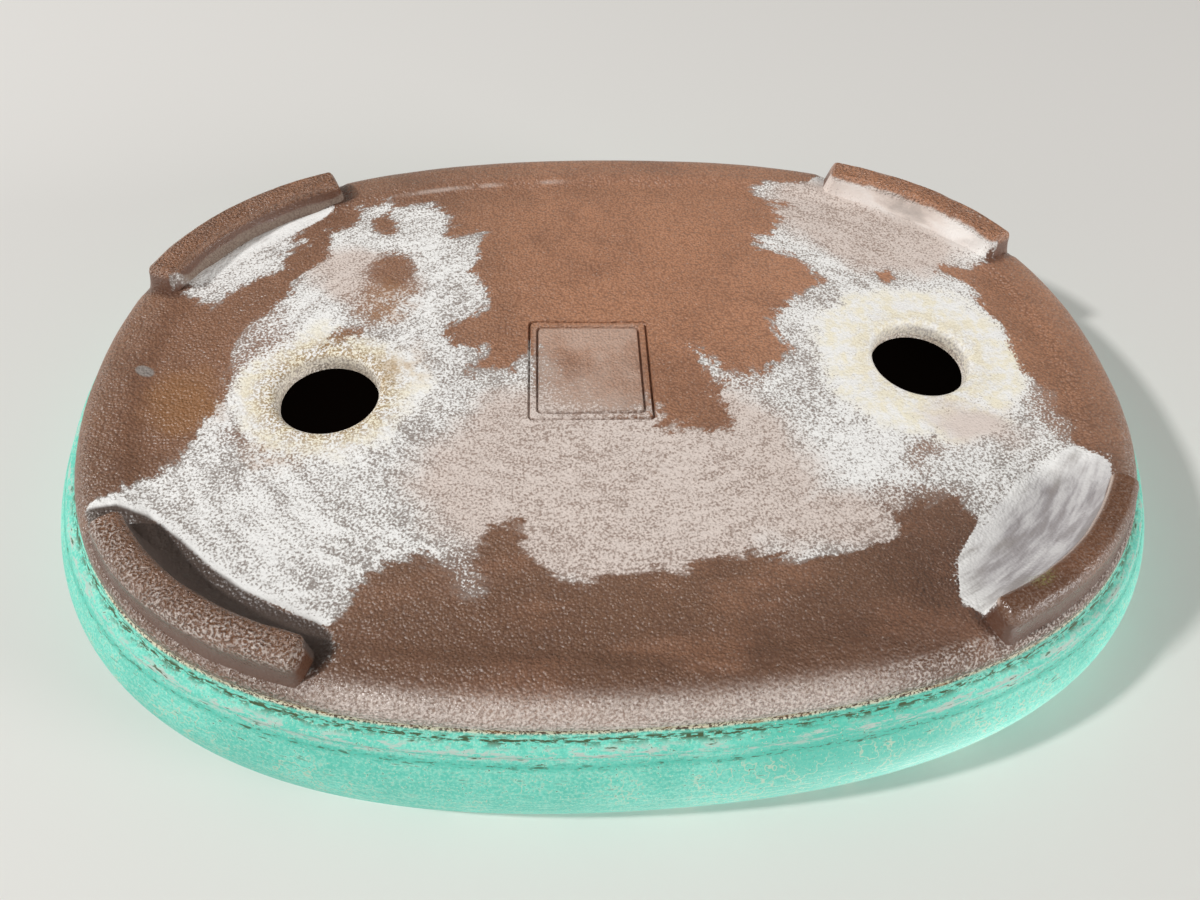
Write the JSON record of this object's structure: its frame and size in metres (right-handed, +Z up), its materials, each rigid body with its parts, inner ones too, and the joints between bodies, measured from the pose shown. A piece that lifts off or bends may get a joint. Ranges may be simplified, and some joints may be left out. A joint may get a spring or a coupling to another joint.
{
  "type": "oval bonsai pot",
  "caption": "Shallow oval stoneware bonsai pot with a glazed belly wall, curved corner feet and round drain holes in an unglazed floor.",
  "frame": {"origin": "on the ground under the middle of the pot, at the level of the feet's resting faces", "axes": "+X along the pot's length, +Z up out of the pot's open top"},
  "size_m": [0.3202, 0.2332, 0.05],
  "materials": {
    "clay": "unglazed brown stoneware",
    "glaze": "semi-matt turquoise glaze"
  },
  "bodies": {
    "root": {"floor_slab": "clay", "side_wall": "clay", "base_ridge": "glaze", "rim_lip": "clay", "glaze_coat": "glaze", "foot_front_left": "clay", "foot_front_right": "clay", "foot_back_left": "clay", "foot_back_right": "clay"}
  },
  "joints": []
}
